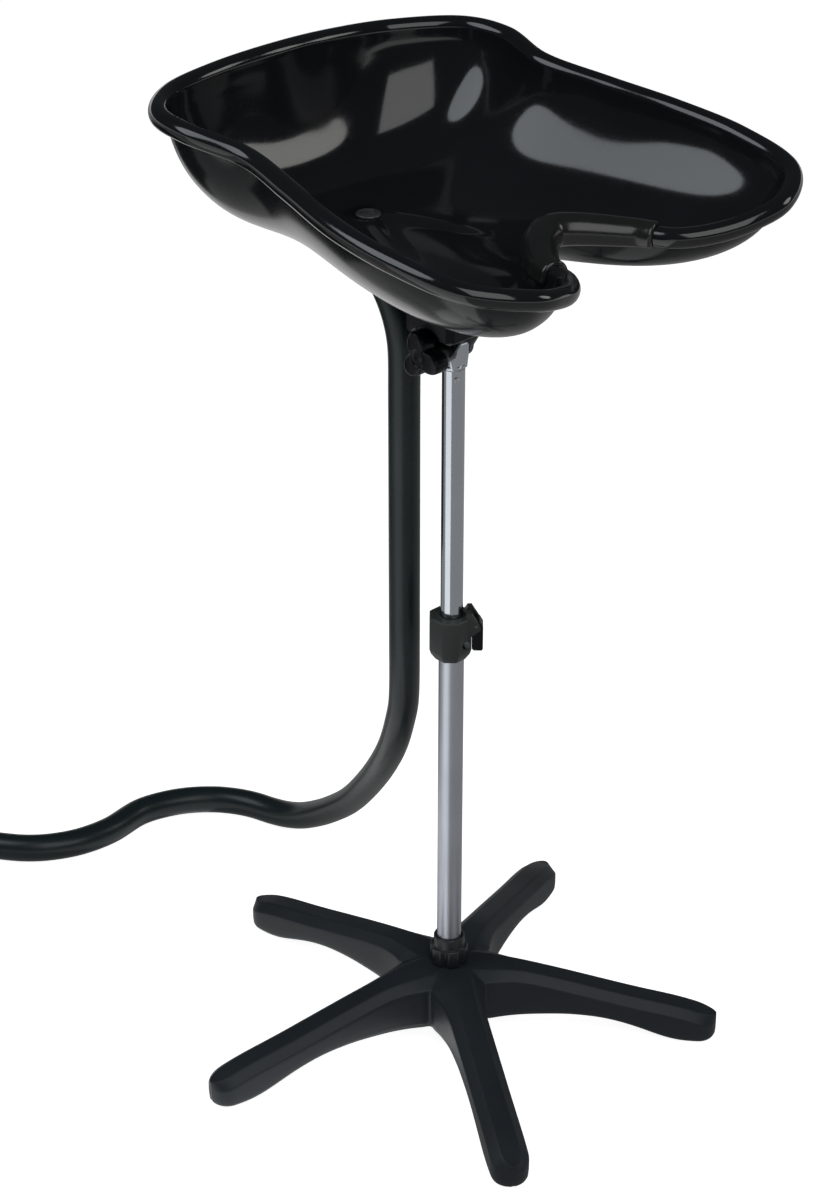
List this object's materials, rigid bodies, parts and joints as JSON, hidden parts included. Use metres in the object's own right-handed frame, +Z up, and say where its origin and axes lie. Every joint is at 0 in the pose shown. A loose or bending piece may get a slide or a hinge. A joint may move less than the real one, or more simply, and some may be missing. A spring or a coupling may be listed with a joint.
{
  "type": "portable salon sink",
  "caption": "Free-standing shampoo sink: a deep bowl with rolled rim and neck cut-out on a sliding, turning and tilting column, with a legged base and a drain hose.",
  "frame": {"origin": "on the floor, in the middle of the plan of everything but the hose", "axes": "+Z up, -Y toward the client's neck, +X to the client's left when they lean back over the pad"},
  "size_m": [0.533, 1.0052, 1.0054],
  "materials": {
    "bowl": "high gloss inside, satin outside",
    "moulding": "fine satin",
    "knob": "satin",
    "clamp": "satin",
    "rubber": "matt",
    "hose": "satin",
    "pad": "glossy, slightly see-through",
    "chrome": "polished",
    "satin": "satin",
    "steel": "bright zinc"
  },
  "bodies": {
    "stand": {"base_star": "moulding", "glide_1": "rubber", "glide_2": "rubber", "glide_3": "rubber", "glide_4": "rubber", "glide_5": "rubber", "hub_collar": "knob", "lower_tube": "satin", "tube_plug": "knob", "base_bolt": "steel", "base_washer": "steel", "clamp_collar": "clamp", "clamp_liner": "rubber", "clamp_screw": "steel", "clamp_nut": "steel", "clamp_pin": "steel", "hose_lower": "hose"},
    "lever": {"clamp_lever": "knob"},
    "guide": {"column_bush": "rubber", "hose_middle": "hose"},
    "column": {"upper_tube": "chrome", "tube_head": "chrome", "head_screw": "steel"},
    "bowl": {"bowl_shell": "bowl", "neck_pad": "pad", "bowl_pedestal": "knob", "tilt_bracket": "steel", "bracket_screw_1": "steel", "bracket_screw_2": "steel", "bracket_screw_3": "steel", "bracket_screw_4": "steel", "tilt_bolt": "steel", "tilt_washer_left": "steel", "tilt_washer_right": "steel", "drain_flange": "knob", "drain_strainer": "knob", "drain_gasket": "rubber", "drain_nut": "knob", "drain_elbow": "knob", "hose_band": "steel", "hose_upper": "hose"},
    "knob": {"tilt_knob": "knob"}
  },
  "joints": [
    {"name": "clamp_lever_hinge", "type": "hinge", "parent": "stand", "child": "lever", "pos_m": [0.02193, -0.03043, 0.4785], "axis": [-0.7193, -0.6947, 0], "range_deg": [0, 100]},
    {"name": "column_slide", "type": "slide", "parent": "stand", "child": "guide", "axis": [0, 0, 1], "range_m": [-0.22, 0.08], "deforming": ["hose_lower"]},
    {"name": "column_swivel", "type": "hinge", "parent": "guide", "child": "column", "pos_m": [0.00491, -0.0128, 0.4], "axis": [0, 0, 1], "range_deg": [-90, 90], "deforming": ["hose_middle"]},
    {"name": "bowl_tilt", "type": "hinge", "parent": "column", "child": "bowl", "pos_m": [0.00491, -0.0128, 0.771], "axis": [1, 0, 0], "range_deg": [-20, 15], "deforming": ["hose_upper"]},
    {"name": "tilt_knob_turn", "type": "hinge", "parent": "bowl", "child": "knob", "pos_m": [-0.03009, -0.0128, 0.771], "axis": [1, 0, 0], "range_deg": [0, 180]}
  ]
}
